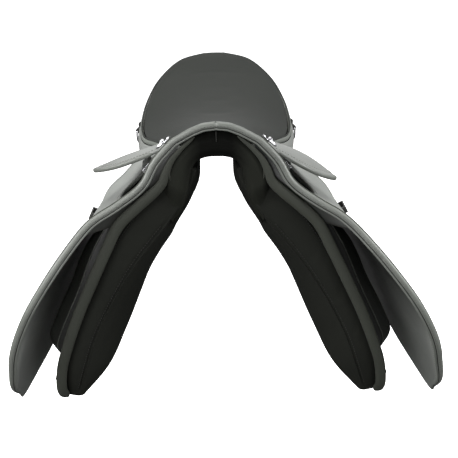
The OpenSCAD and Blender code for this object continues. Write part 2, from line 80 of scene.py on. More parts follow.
area_light("overhead", (0.0, -0.1, 2.3), (0, 0, 0), 2.2, 60)
area_light("front_left", (1.7, -2.2, 0.9), (0, -0.1, -0.05), 1.3, 20)
area_light("front_right", (-1.7, -2.2, 0.9), (0, -0.1, -0.05), 1.3, 52)
area_light("front_low", (-0.7, -2.4, -0.45), (0.1, -0.1, -0.2), 1.0, 16)
area_light("side_left", (2.3, -0.5, 0.9), (0.1, 0, 0), 1.2, 75)
area_light("side_right", (-2.3, -0.5, 0.9), (-0.1, 0, 0), 1.2, 75)
area_light("back", (0.0, 2.3, 1.3), (0, 0, 0), 1.8, 14)
world = bpy.data.worlds.new("studio")
bpy.context.scene.world = world
world.use_nodes = True
sky = world.node_tree
direction = sky.nodes.new("ShaderNodeTexCoord")
height = sky.nodes.new("ShaderNodeSeparateXYZ")
sky.links.new(direction.outputs["Generated"], height.inputs[0])
strength = sky.nodes.new("ShaderNodeMapRange")
for socket, value in zip((1, 2, 3, 4), (-0.55, 0.8, 0.14, 0.62)):     # height from, to; strength from, to
    strength.inputs[socket].default_value = value
sky.links.new(height.outputs["Z"], strength.inputs[0])
sky.nodes["Background"].inputs["Color"].default_value = (1, 1, 1, 1)
sky.links.new(strength.outputs[0], sky.nodes["Background"].inputs["Strength"])


# ---------------- materials
class Nodes:
    """A material's node tree, with short calls to add to it."""

    def __init__(self, name):
        self.m = bpy.data.materials.new(name)
        self.m.use_nodes = True
        self.t = self.m.node_tree
        self.b = self.t.nodes["Principled BSDF"]
        self.coords = self.add("ShaderNodeTexCoord").outputs["Object"]

    def add(self, kind, inputs=None, **settings):
        n = self.t.nodes.new(kind)
        for k, v in settings.items():
            setattr(n, k, v)
        for k, v in (inputs or {}).items():
            if isinstance(v, bpy.types.NodeSocket):
                self.t.links.new(v, n.inputs[k])
            else:
                n.inputs[k].default_value = v
        return n

    def ramp(self, value, lo, hi, a, b):
        return self.add("ShaderNodeMapRange", {0: value, 1: lo, 2: hi, 3: a, 4: b}).outputs[0]

    def noise(self, scale, detail=3, rough=0.55):
        return self.add("ShaderNodeTexNoise", {"Vector": self.coords, "Scale": scale, "Detail": detail,
                                               "Roughness": rough}).outputs["Fac"]

    def cells(self, scale):
        return self.add("ShaderNodeTexVoronoi", {"Vector": self.coords, "Scale": scale}).outputs["Distance"]

    def along(self, axis):
        return self.add("ShaderNodeSeparateXYZ", {0: self.coords}).outputs[axis]

    def colour(self, dark, light, factor):
        n = self.add("ShaderNodeMix", data_type="RGBA")
        self.t.links.new(factor, n.inputs["Factor"])
        n.inputs["A"].default_value = (*dark, 1)
        n.inputs["B"].default_value = (*light, 1)
        self.t.links.new(n.outputs["Result"], self.b.inputs["Base Color"])

    def rough(self, value, lo, hi):
        self.t.links.new(self.ramp(value, 0.3, 0.7, lo, hi), self.b.inputs["Roughness"])

    def bump(self, height, strength, distance, before=None):
        n = self.add("ShaderNodeBump", {"Height": height, "Strength": strength, "Distance": distance})
        if before:
            self.t.links.new(before.outputs["Normal"], n.inputs["Normal"])
        self.t.links.new(n.outputs["Normal"], self.b.inputs["Normal"])
        return n

    def settings(self, **values):
        for k, v in values.items():
            self.b.inputs[k.replace("_", " ")].default_value = v
        return self.m


def scaled(c, f):
    return tuple(x * f for x in c)


def leather(name, base, rough=0.5, cells=780, depth=0.25, spread=0.14, specular=0.5):
    """Fine-grained synthetic leather: pebbled cells with pores, broad mottling and an uneven sheen."""
    n = Nodes(name)
    pebbles = n.cells(cells)
    fine = n.noise(cells * 2.2, 2)
    broad = n.noise(14, 4)
    n.colour(scaled(base, 1 - spread), scaled(base, 1 + spread), n.ramp(broad, 0.3, 0.7, 0, 1))
    n.rough(broad, rough - 0.05, rough + 0.07)
    first = n.bump(pebbles, depth, 0.0004)
    n.bump(fine, depth * 0.5, 0.0002, first)
    return n.settings(Specular_IOR_Level=specular)


def suede(name, base, rough=0.85, sheen=0.25, spread=0.1, fuzz=2400, specular=0.25):
    """Brushed synthetic: short nap with a soft sheen and slightly rubbed patches."""
    n = Nodes(name)
    nap = n.noise(fuzz, 3, 0.7)
    broad = n.noise(9, 5)
    patches, hairs = n.ramp(broad, 0.3, 0.7, 0, 0.75), n.ramp(nap, 0.3, 0.7, 0, 0.25)
    mixed = n.add("ShaderNodeMath", {0: patches, 1: hairs}, operation="ADD").outputs[0]
    n.colour(scaled(base, 1 - spread), scaled(base, 1 + spread), mixed)
    n.rough(broad, rough - 0.06, rough + 0.04)
    n.bump(nap, 0.25, 0.0003)
    return n.settings(Sheen_Weight=sheen, Sheen_Roughness=0.5, Specular_IOR_Level=specular)


def facing_cloth(name, dark, light):
    """The panels' cloth, with painted shade: darkest at the middle of the pommel, where the pommel face is in shade."""
    n = Nodes(name)
    sideways = n.add("ShaderNodeMath", {0: n.along("X")}, operation="ABSOLUTE").outputs[0]
    # painted shade: the colour darkens towards the middle of the pommel face and stands in for the shade there
    n.colour(dark, light, n.ramp(sideways, 0.022, 0.050, 0, 1))
    nap = n.noise(1900, 3, 0.7)
    n.rough(n.noise(9, 5), 0.84, 0.94)
    n.bump(nap, 0.25, 0.0003)
    return n.settings(Specular_IOR_Level=0.05)


def lining(name, dark, light):
    """The flap's inner face: dark leather with painted shade near the top, where the panels shade it, and lighter
    towards the lower edge, where light reaches it.
    """
    n = Nodes(name)
    # painted shade and light: dark above z -0.10 m and light below z -0.20 m, standing in for the shade under the
    # panels and the light at the lower edge
    n.colour(dark, light, n.ramp(n.along("Z"), -0.10, -0.20, 0, 1))
    n.rough(n.noise(14, 4), 0.44, 0.54)
    n.bump(n.cells(820), 0.2, 0.0004)
    return n.settings(Specular_IOR_Level=0.4)


def webbing(name, base):
    """Woven webbing: ribs across with a fine twill between them."""
    n = Nodes(name)
    wave = n.add("ShaderNodeTexWave", {"Vector": n.coords, "Scale": 260, "Distortion": 1.2, "Detail": 2},
                 bands_direction="DIAGONAL").outputs["Fac"]
    weave = n.noise(900, 2)
    n.colour(scaled(base, 0.7), scaled(base, 1.35), wave)
    n.rough(weave, 0.7, 0.85)
    n.bump(wave, 0.5, 0.0006)
    return n.settings(Specular_IOR_Level=0.3)


def metal(name, base, rough, streak=0.05):
    """Plated metal with faint polishing marks."""
    n = Nodes(name)
    marks = n.noise(420, 4, 0.7)
    n.colour(scaled(base, 0.93), base, marks)
    n.rough(marks, rough, rough + streak)
    n.bump(marks, 0.04, 0.0002)
    return n.settings(Metallic=1.0)


def polymer(name, base, rough=0.55):
    n = Nodes(name)
    grit = n.noise(1100, 3)
    n.colour(scaled(base, 0.85), scaled(base, 1.15), n.noise(20, 3))
    n.rough(grit, rough - 0.06, rough + 0.06)
    n.bump(grit, 0.2, 0.0003)
    return n.settings(Specular_IOR_Level=0.4)


M = {
    "seat_skin": suede("seat_suede", (0.0150, 0.0163, 0.0144), 0.8, 0.03, 0.06, specular=0.15),
    "foam": polymer("seat_foam_core", (0.62, 0.56, 0.30), 0.9),
    "tree_polymer": polymer("black_polymer", (0.016, 0.016, 0.016)),
    "head_steel": metal("zinc_steel", (0.46, 0.46, 0.48), 0.32),
    "flap_skin": leather("flap_leather", (0.150, 0.157, 0.147), 0.46, 820, 0.22),
    "skirt_skin": leather("skirt_leather", (0.135, 0.140, 0.132), 0.44, 820, 0.22),
    "binding": leather("binding_leather", (0.088, 0.094, 0.084), 0.46, 1000, 0.18),
    "panel_skin": suede("panel_cloth", (0.0098, 0.0104, 0.0087), 0.9, 0.0, 0.12, 1900, 0.07),
    "border_skin": suede("border_cloth", (0.0235, 0.0255, 0.0205), 0.8, 0.0, 0.1, 1900, 0.2),
    "under_skin": leather("under_leather", (0.014, 0.015, 0.013), 0.38, 900, 0.16),
    # the facing cloth's colour carries painted shade, darkest at the pommel's middle
    "facing_cloth": facing_cloth("facing_cloth", (0.0022, 0.0024, 0.0020), (0.0105, 0.0112, 0.0090)),
    # the lining's colour is painted shade near the top of the flap's inner face, lighter lower down where light reaches
    # it
    "lining": lining("flap_lining_painted_shade", (0.014, 0.015, 0.0135), (0.135, 0.142, 0.132)),
    "strap_skin": leather("strap_leather", (0.014, 0.0145, 0.0125), 0.48, 900, 0.2),
    "webbing": webbing("tab_webbing", (0.016, 0.016, 0.014)),
    "chrome": metal("chrome_plate", (0.62, 0.62, 0.64), 0.16),
    "thread": suede("thread", (0.11, 0.115, 0.10), 0.7, 0.3, 0.15, 3000),
    "thread_dark": suede("thread_dark", (0.035, 0.037, 0.032), 0.7, 0.3, 0.15, 3000),
    "thread_black": suede("thread_black", (0.012, 0.012, 0.011), 0.7, 0.0, 0.15, 3000),
}
FLOOR_Z, FLOOR_HALF = -0.92, 60
floor_mesh = bpy.data.meshes.new("floor")
corners = [(x * FLOOR_HALF, y * FLOOR_HALF, FLOOR_Z) for x, y in ((-1, -1), (1, -1), (1, 1), (-1, 1))]
floor_mesh.from_pydata(corners, [], [(0, 1, 2, 3)])
floor = bpy.data.objects.new("floor", floor_mesh)
bpy.context.collection.objects.link(floor)
floor_nodes = Nodes("floor_paint")
floor_nodes.colour((0.93, 0.93, 0.93), (0.96, 0.96, 0.96), floor_nodes.noise(0.7, 2))
floor_nodes.settings(Roughness=0.9, Emission_Color=(1, 1, 1, 1), Emission_Strength=1.0)
floor_mesh.materials.append(floor_nodes.m)
floor.visible_diffuse = floor.visible_glossy = False


# ---------------- geometry helpers
def spline(points, t):
    """Catmull-Rom through the points at t, 0 to 1: the same curve that the CAD source uses."""
    p = np.asarray(points, float)
    t = np.clip(np.asarray(t, float), 0, 1)
    n = len(p) - 1
    s = t * n
    i = np.minimum(np.floor(s).astype(int), n - 1)
    f = (s - i)[..., None]
    a, b, c, d = p[np.maximum(i - 1, 0)], p[i], p[i + 1], p[np.minimum(i + 2, n)]
    return 0.5 * (2 * b + (c - a) * f + (2 * a - 5 * b + 4 * c - d) * f ** 2 + (3 * b - a - 3 * c + d) * f ** 3)


def unit(v):
    v = np.asarray(v, float)
    return v / np.maximum(np.linalg.norm(v, axis=-1, keepdims=True), 1e-9)


def mix(a, b, w):
    return a * (1 - w) + b * w


def smooth(a, b, x):
    x = np.clip((np.asarray(x, float) - a) / (b - a), 0, 1)
    return x * x * (3 - 2 * x)


def bell(x, centre, width):
    """1 at the centre and 0 far from it."""
    return np.exp(-((x - centre) / width) ** 2)


def resample(points, step):
    """Points a fixed arc length apart along a polyline."""
    p = np.asarray(points, float)
    d = np.concatenate([[0], np.cumsum(np.linalg.norm(np.diff(p, axis=0), axis=1))])
    k = max(2, int(round(d[-1] / step)) + 1)
    s = np.linspace(0, d[-1], k)
    return np.stack([np.interp(s, d, p[:, j]) for j in range(p.shape[1])], axis=1)


def spaced(count, first, last=None):
    """0 to 1 with a short step at each end, so that an edge can be rounded there."""
    last = first if last is None else last
    between = np.linspace(0, 1, count)[1:-1] * (1 - 2.4 * (first + last)) + 2.4 * first
    return np.concatenate([[0, first], between, [1 - last, 1]])


def piece(name, verts, faces, material, side=1.0, levels=0):
    """An object from millimetre points; side -1 mirrors it. levels is the subdivision that is applied."""
    v = np.asarray(verts, float) * MM * (side, 1, 1)
    mesh = bpy.data.meshes.new(name)
    mesh.from_pydata(v.tolist(), [], [f[::-1] if side < 0 else f for f in faces])
    mesh.validate()
    mesh.materials.append(M[material])
    obj = bpy.data.objects.new(name, mesh)
    bpy.context.collection.objects.link(obj)
    if levels:
        obj.modifiers.new("subdivision", "SUBSURF").levels = levels
        bake(obj)
    shade_smooth(obj)
    return obj


def shade_smooth(obj):
    obj.data.polygons.foreach_set("use_smooth", [True] * len(obj.data.polygons))


def bake(obj):
    """Applies every modifier of the object."""
    bpy.context.view_layer.update()
    shaped = bpy.data.meshes.new_from_object(obj.evaluated_get(bpy.context.evaluated_depsgraph_get()))
    obj.modifiers.clear()
    obj.data = shaped


def swell(obj, free, cap, loose=0.0):
    """Fills a padded piece by cloth simulation, then subdivides it once. free is each point's freedom, 0 at a seam
    to 1; no point moves further than cap millimetres. loose is the share by which the cover is too large."""
    rest = np.empty(len(obj.data.vertices) * 3)
    obj.data.vertices.foreach_get("co", rest)
    rest = rest.reshape(-1, 3)
    held = obj.vertex_groups.new(name="held")
    for i, f in enumerate(np.asarray(free, float).ravel()):
        held.add([i], 1.0 - float(f), "REPLACE")
    cloth = obj.modifiers.new("cloth", "CLOTH")
    c = cloth.settings
    c.quality, c.mass, c.bending_stiffness, c.shrink_min = 5, 0.15, 2.0, -loose
    c.use_pressure, c.uniform_pressure_force, c.vertex_group_mass = True, 4.0, "held"
    c.effector_weights.gravity = 0
    cloth.point_cache.frame_start, cloth.point_cache.frame_end = 1, SWELL_FRAMES
    for f in range(1, SWELL_FRAMES + 1):
        bpy.context.scene.frame_set(f)
    shaped = obj.evaluated_get(bpy.context.evaluated_depsgraph_get()).data
    moved = np.empty(len(rest) * 3)
    shaped.vertices.foreach_get("co", moved)
    step = moved.reshape(-1, 3) - rest
    length = np.maximum(np.linalg.norm(step, axis=1, keepdims=True), 1e-9)
    step *= np.tanh(length / (cap * MM)) * cap * MM / length
    obj.modifiers.clear()
    obj.vertex_groups.clear()
    obj.data.vertices.foreach_set("co", (rest + step).ravel())
    obj.data.update()
    bpy.context.scene.frame_set(1)
    obj.modifiers.new("subdivision", "SUBSURF").levels = 1
    bake(obj)
    shade_smooth(obj)


def normals(g):
    return unit(np.cross(np.gradient(g, axis=0), np.gradient(g, axis=1)))


def two_sided(top, bottom, rim=None, hole=None):
    """Verts and faces of a closed solid between two grids. rim is a grid whose border bulges out between them; hole
    is a block of cells left out, from row, to row, from column, to column."""
    r, c = top.shape[:2]
    n = r * c
    verts = [*top.reshape(-1, 3), *bottom.reshape(-1, 3)]
    faces = []
    h = hole or (0, 0, 0, 0)
    for i in range(r - 1):
        for j in range(c - 1):
            if h[0] <= i < h[1] and h[2] <= j < h[3]:
                continue
            a, b, d, e = i * c + j, i * c + j + 1, (i + 1) * c + j + 1, (i + 1) * c + j
            faces.append((a, e, d, b))
            faces.append((a + n, b + n, d + n, e + n))
    if hole:
        ring = ([(h[0], j) for j in range(h[2], h[3])] + [(i, h[3]) for i in range(h[0], h[1])]
                + [(h[1], j) for j in range(h[3], h[2], -1)] + [(i, h[2]) for i in range(h[1], h[0], -1)])
        ring = [i * c + j for i, j in ring]
        faces += [(b, a, a + n, b + n) for a, b in zip(ring, ring[1:] + ring[:1])]
    loop = ([j for j in range(c)] + [i * c + c - 1 for i in range(1, r)]
            + [(r - 1) * c + j for j in range(c - 2, -1, -1)] + [i * c for i in range(r - 2, 0, -1)])
    if rim is None:
        for a, b in zip(loop, loop[1:] + loop[:1]):
            faces.append((a, b, b + n, a + n))
    else:
        base = len(verts)
        verts += [rim.reshape(-1, 3)[k] for k in loop]
        m = len(loop)
        for k in range(m):
            a, b, p, q = loop[k], loop[(k + 1) % m], base + k, base + (k + 1) % m
            faces.append((a, b, q, p))
            faces.append((p, q, b + n, a + n))
    return verts, faces


def sheet(name, mid, thick, material, side=1.0, hole=None):
    """A sheet with rounded edges. mid is its grid of middle points, with a short first and last step."""
    n = normals(mid)
    t = np.broadcast_to(np.asarray(thick, float), mid.shape[:2]).copy()
    edge = t.copy()
    for k in (0, -1):
        edge[k, :] *= 0.62
        edge[:, k] *= 0.62
    out = np.zeros_like(mid)
    out[0] += unit(mid[0] - mid[1])
    out[-1] += unit(mid[-1] - mid[-2])
    out[:, 0] += unit(mid[:, 0] - mid[:, 1])
    out[:, -1] += unit(mid[:, -1] - mid[:, -2])
    rim = mid + unit(out) * t[..., None] * 0.3
    v, f = two_sided(mid + n * edge[..., None] / 2, mid - n * edge[..., None] / 2, rim, hole)
    return piece(name, v, f, material, side, 1)


def end_fan(o, k, centre, flip):
    """Triangles that close a ring of k points, which starts at o, with its centre."""
    ring = [(o + j, o + (j + 1) % k) for j in range(k)]
    return [(b, a, centre) if flip else (a, b, centre) for a, b in ring]


def tubular(name, rings, material, side=1.0):
    """A closed solid through rings of points, with each end drawn to the ring's middle."""
    r, k = rings.shape[:2]
    flat = rings.reshape(-1, 3)
    verts = [*flat]
    faces = [(i * k + j, i * k + (j + 1) % k, (i + 1) * k + (j + 1) % k, (i + 1) * k + j)
             for i in range(r - 1) for j in range(k)]
    for o, flip in ((0, True), ((r - 1) * k, False)):
        verts.append(flat[o:o + k].mean(axis=0))
        faces += end_fan(o, k, len(verts) - 1, flip)
    return piece(name, verts, faces, material, side)


def sweep(name, path, across, up, profile, material, side=1.0, scale=None):
    """A closed profile of [across, up] points carried along a path. scale is a factor at each path point, or a pair."""
    path, across, up = (np.asarray(a, float)[:, None] for a in (path, across, up))
    prof = np.asarray(profile, float)
    m = len(path)
    s = np.ones((m, 2)) if scale is None else np.asarray(scale, float).reshape(m, -1) * np.ones((m, 2))
    a, b = prof[None, :, :1], prof[None, :, 1:]
    rings = path + across * a * s[:, None, :1] + up * b * s[:, None, 1:]
    return tubular(name, rings, material, side)


def oval(a, b, k=12, power=1.0):
    t = np.linspace(0, 2 * np.pi, k, endpoint=False)
    x, y = np.cos(t), np.sin(t)
    return np.stack([a / 2 * np.sign(x) * np.abs(x) ** power, b / 2 * np.sign(y) * np.abs(y) ** power], axis=1)


def frames(path, hint):
    """Across and up vectors along a path; up leans to the hint, one vector or one a point."""
    t = unit(np.gradient(np.asarray(path, float), axis=0))
    h = np.broadcast_to(np.asarray(hint, float), t.shape)
    across = unit(np.cross(t, h))
    return across, unit(np.cross(across, t))


def tube(name, path, a, b, material, hint=(0, 1, 0), side=1.0, taper=0.0, k=12):
    """An oval tube along a path, drawn in towards its ends over a share taper of its length."""
    path = np.asarray(path, float)
    across, up = frames(path, hint)
    s = np.linspace(0, 1, len(path))
    scale = np.ones(len(path))
    if taper:
        scale = np.clip(np.sqrt(np.clip(np.minimum(s, 1 - s) / taper, 0.02, 1)), 0, 1)
    return sweep(name, path, across, up, oval(a, b, k), material, side, scale)


def stitches(name, path, out, material="thread", side=1.0, pitch=5.2, length=3.7, r=0.5):
    """A row of sewn stitches along a path; out is the surface's normal, one vector or one a point."""
    p = np.asarray(path, float)
    o = np.broadcast_to(np.asarray(out, float), p.shape)
    both = resample(np.concatenate([p, o], axis=1), 1.0)
    d = np.concatenate([[0], np.cumsum(np.linalg.norm(np.diff(both[:, :3], axis=0), axis=1))])
    count = int(d[-1] / pitch)
    end, middle = -0.35, 0.15     # how high each point's centre stands above the surface, in thread radii
    verts, faces = [], []
    for i in range(count):
        s0 = (i + 0.5) * d[-1] / count
        q = [np.array([np.interp(s0 + e * length, d, both[:, j]) for j in range(6)]) for e in (-0.5, -0.25, 0.25, 0.5)]
        t = unit(q[3][:3] - q[0][:3])
        n = unit(q[1][3:])
        b = np.cross(t, n)
        base = len(verts)
        verts.append(q[0][:3] + n * end * r)
        for m in (1, 2):
            for w in (a * math.pi / 3 for a in range(6)):
                verts.append(q[m][:3] + n * (r * math.sin(w) + middle * r) + b * r * 1.15 * math.cos(w))
        verts.append(q[3][:3] + n * end * r)
        first, second, tip = base + 1, base + 7, base + 13
        for a in range(6):
            e = (a + 1) % 6
            faces += [(base, first + a, first + e), (first + a, second + a, second + e, first + e),
                      (tip, second + e, second + a)]
    return piece(name, verts, faces, material, side)


def joined(name, objects):
    """Joins mesh objects into the first one."""
    first = objects[0]
    bm = bmesh.new()
    for o in objects:
        bm.from_mesh(o.data)
    bm.to_mesh(first.data)
    bm.free()
    for o in objects[1:]:
        bpy.data.objects.remove(o)
    first.name = name
    shade_smooth(first)
    return first


def turned(points, at, axis, degrees):
    """Points turned about a line."""
    m = np.array(Matrix.Rotation(math.radians(degrees), 3, Vector(axis)))
    return (np.asarray(points, float) - at) @ m.T + at


def bevelled(node, body, material, width=0.7, segments=2, name=None):
    """A copy of a CAD node with its edges rounded, in place of the node."""
    source = frame["nodes"][node]
    mesh = source.data.copy()
    obj = bpy.data.objects.new(name or node + "_piece", mesh)
    bpy.context.collection.objects.link(obj)
    obj.matrix_world = source.matrix_world.copy()
    bm = bmesh.new()
    bm.from_mesh(mesh)
    bmesh.ops.remove_doubles(bm, verts=bm.verts, dist=1e-6)
    bmesh.ops.dissolve_limit(bm, angle_limit=math.radians(2), verts=bm.verts, edges=bm.edges)
    bm.to_mesh(mesh)
    bm.free()
    mod = obj.modifiers.new("bevel", "BEVEL")
    mod.width, mod.segments, mod.limit_method, mod.angle_limit = width * MM, segments, "ANGLE", math.radians(35)
    bake(obj)
    obj.data.materials.clear()
    obj.data.materials.append(M[material])
    shade_smooth(obj)
    obj.modifiers.new("normals", "WEIGHTED_NORMAL").keep_sharp = False
    bake(obj)
    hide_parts(node)
    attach(obj, body)
    return obj


# ---------------- shapes shared with the CAD source
SEAT_ROWS = [[-210, 50, 150, 122], [-180, 60, 143, 108], [-130, 64, 126, 93], [-80, 68, 112, 83],
             [-30, 82, 103, 75], [20, 104, 101, 69], [70, 126, 104, 65], [115, 133, 114, 77],
             [160, 126, 131, 108], [200, 105, 153, 142], [228, 66, 175, 173], [242, 18, 185, 184]]
CROWN = 2.6
FLAP_FRONT = [[60, -212, 124], [88, -214, 95], [112, -217, 62], [148, -222, 33], [185, -228, 8],
              [222, -240, -32], [258, -246, -79], [290, -245, -128], [316, -236, -182],
              [331, -219, -232], [336, -196, -272], [327, -142, -303]]
FLAP_REAR = [[104, 80, 46], [122, 76, 36], [142, 70, 20], [164, 58, -6], [185, 46, -30],
             [205, 32, -60], [222, 22, -102], [244, 12, -150], [267, 2, -200],
             [287, -8, -246], [301, -30, -284], [316, -84, -308]]
FLAP_T, FLAP_SAG, FOLD_AT, LEFT_REST, RIGHT_REST, RIGHT_SKIRT_REST = 5.0, 15.0, 0.37, 2.0, 1.5, 7.0
SWEAT_T = 3.5
FLAP_TIP, LEFT_TIP = np.array([17.0, -18.0, -12.0]), np.array([1.0, 0.0, -13.0])    # how far the tips are drawn out
SWEAT_FRONT = [[153, -194, 5], [158, -190, -10], [168, -186, -42], [188, -180, -95], [208, -172, -145],
               [230, -160, -195], [248, -146, -238], [258, -122, -268]]
SWEAT_REAR = [[154, 38, -44], [166, 32, -64], [178, 22, -86], [194, 10, -120], [210, -2, -156],
              [227, -18, -194], [240, -40, -230], [250, -80, -258]]
PANEL_FRONT = [[34, -201, 82], [56, -201, 43], [94, -203, 4], [140, -203.5, -50], [178, -203, -115],
               [209, -201, -180], [228, -195, -241], [238, -177, -302]]
PANEL_REAR = [[38, 212, 72], [92, 218, 52], [134, 184, 14], [141, 98, -48], [136, 4, -124],
              [156, -46, -194], [190, -88, -256], [234, -138, -310]]
PANEL_DIP = [46, 46, 28, 10, 0, 0, 0, 0]
PANEL_BULGE = [9, 23, 44, 50, 44, 41, 36, 13]
PANEL_FRONT_OUT = [10, 13, 19, 20, 17, 16, 15, 9]
PANEL_FULL = [8, 24, 32, 26, 19, 19, 21, 17]      # least depth beside the border roll, more than the CAD's
BULGE_SHAPE = [0.42, 0.78, 0.96, 1, 0.92, 0.74, 0.54, 0.4, 0.3, 0.22, 0.06]
BORDER_LINE = [[82, -212, 60], [118, -214, 28], [146, -214, 0], [167, -214, -40], [191, -214, -90],
               [215, -212, -142], [236, -208, -196], [250, -202, -240], [256, -191, -284], [252, -172, -310]]
BORDER_LEAD = [[30, -212.5, 131.5], [48, -212.6, 116], [64, -212.8, 98], [73, -212.6, 80]]   # up beside the facing
SKIRT_SEAM = [[69, -184, 112], [92, -14, 71]]
SKIRT_EDGE = [[90, -184, 99], [144, -166, 68], [184, -118, 45], [164, -62, 44], [110, -16, 62]]
FACING_IN = [[0, 101], [13, 100.5], [26, 96], [35, 85], [39, 69], [43, 49], [51, 24], [67, -6]]
FACING_OUT = [[0, 141], [33, 132], [54, 114], [68, 96], [76, 84], [80, 70], [77, 50], [72, 18]]
FACING_Y, FACING_TURN = -205.0, 5.5               # the facing's front, and how far it turns back at the gullet
BLOCK_RISE = [9, 17, 24, 30, 36, 38, 36, 14]


def seat_at(t, u, drop=0.0, inset=0.0):
    t, u = np.broadcast_arrays(np.asarray(t, float), np.asarray(u, float))
    s = spline(SEAT_ROWS, t)
    w = s[..., 1] - inset
    e = np.abs(u) ** CROWN
    return np.stack([u * w, s[..., 0] - inset * t ** 6, mix(s[..., 2], s[..., 3], e) - drop], axis=-1)


def flap_plain(t, w):
    t, w = np.broadcast_arrays(np.asarray(t, float), np.asarray(w, float))
    p = mix(spline(FLAP_FRONT, t), spline(FLAP_REAR, t), w[..., None])
    p[..., 2] -= FLAP_SAG * 4 * w * (1 - w) * np.maximum(0, 1 - t / FOLD_AT)
    return p


def flap_at(t, w):
    """The CAD flap, drawn in at its front edge beside the stirrup bar, fuller at its rear edge and rounded at its
    lower end, whose tip is drawn forwards and out."""
    t, w = np.broadcast_arrays(np.asarray(t, float), np.asarray(w, float))
    end = 1 - np.sqrt(np.clip(1 - (np.clip(t - 0.78, 0, 0.22) / 0.22) ** 1.4, 0.01, 1))
    w = mix(w, 0.20, end)
    p = flap_plain(t, w)
    full = 6.0 * bell(t, 0.36, 0.10) * w ** 2
    p[..., 0] += -6.0 * bell(t, 0.20, 0.09) * (1 - w) ** 2
    p[..., 0] += full
    p[..., 2] += 0.8 * full
    return p + np.clip((t - 0.80) / 0.20, 0, 1)[..., None] ** 1.7 * FLAP_TIP


FOLD_A, FOLD_B = flap_plain(FOLD_AT, 0.0), flap_plain(FOLD_AT, 1.0)
FOLD_DIR = unit(FOLD_B - FOLD_A)
FOLD_IN = unit(np.cross(FOLD_DIR, flap_plain(FOLD_AT + 0.02, 0.5) - flap_plain(FOLD_AT - 0.02, 0.5)))
FOLD_POS = mix(FOLD_A, FOLD_B, 0.5) - FOLD_IN * FLAP_T / 2


def flap_rest(points, t, side):
    """The left flap hangs a little further out below its fold, and the right one a little further in."""
    w = smooth(FOLD_AT - 0.035, FOLD_AT + 0.035, t)[..., None]
    if side > 0:
        points = points + LEFT_TIP * smooth(0.72, 1.0, t)[..., None]
    return mix(points, turned(points, FOLD_POS, FOLD_DIR, -LEFT_REST if side > 0 else RIGHT_REST), w)


SKIRT_DIR = unit(np.array(SKIRT_SEAM[1], float) - SKIRT_SEAM[0])


def skirt_at(s, k):
    s, k = np.broadcast_arrays(np.asarray(s, float), np.asarray(k, float))
    a = mix(np.array(SKIRT_SEAM[0], float), np.array(SKIRT_SEAM[1], float), s[..., None])
    p = mix(a, spline(SKIRT_EDGE, s), k[..., None])
    p[..., 2] += 6 * np.sin(np.pi * k) * np.sin(np.pi * s)
    return p


def skirt_shape(s, k, side):
    """The left skirt droops towards its edge; the right one lies flat."""
    p, k, along = skirt_at(s, k), np.asarray(k, float), np.sin(np.pi * np.asarray(s, float))
    bow = np.sin(np.pi * k) * along
    p[..., 2] += bow * 1.5 - 7.0 * k ** 2 * along if side > 0 else bow * -3.0
    return p


def skirt_rest(points, side):
    return points if side > 0 else turned(points, np.array(SKIRT_SEAM[0], float), SKIRT_DIR, -RIGHT_SKIRT_REST)


def blend_fold(obj):
    """Bakes a flap piece's transform into its mesh; the piece's points already follow the soft fold from flap_rest."""
    down = unit(flap_at(FOLD_AT + 0.05, 0.5) - flap_at(FOLD_AT - 0.05, 0.5))
    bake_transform(obj)


def blend_skirt(obj, side):
    """Bakes a skirt piece's transform into its mesh; the piece's points already follow skirt_rest."""
    mid = skirt_rest(skirt_at(0.5, 0.0), side)
    out = unit(skirt_rest(skirt_at(0.5, 0.3), side) - mid)
    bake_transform(obj)


def fixed_piece(obj, *nodes):
    """A piece of the saddle's own body, in place of the named nodes."""
    if nodes:
        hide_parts(*nodes)
    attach(obj, "saddle")


# ---------------- seat
def seat_cover_at(t, u, drop=0.0, inset=0.0):
    """The seat's top, drawn in a little at its widest part."""
    return seat_at(t, u, drop, inset + 3.5 * bell(np.asarray(t, float), 0.62, 0.16))


def outwards(path):
    """The level vector at each point of the seat's edge that points away from the seat."""
    out = unit(np.cross(unit(np.gradient(path, axis=0)), (0, 0, 1)))
    return out * np.sign(np.sum(out * (path - (0, 20, 100)), axis=1, keepdims=True))


def seat_edge(drop, out, start):
    """The seat's edge from the left of the pommel round the cantle to the right, with its outward vector."""
    t = start + (1 - start) * np.linspace(0, 1, 120) ** 0.9
    left = seat_at(t, 1.0)
    right = left[::-1] * (-1, 1, 1)
    path = resample(np.concatenate([left, right[1:]]), 3.5)
    outward = outwards(path)
    return path + outward * out - (0, 0, drop), outward


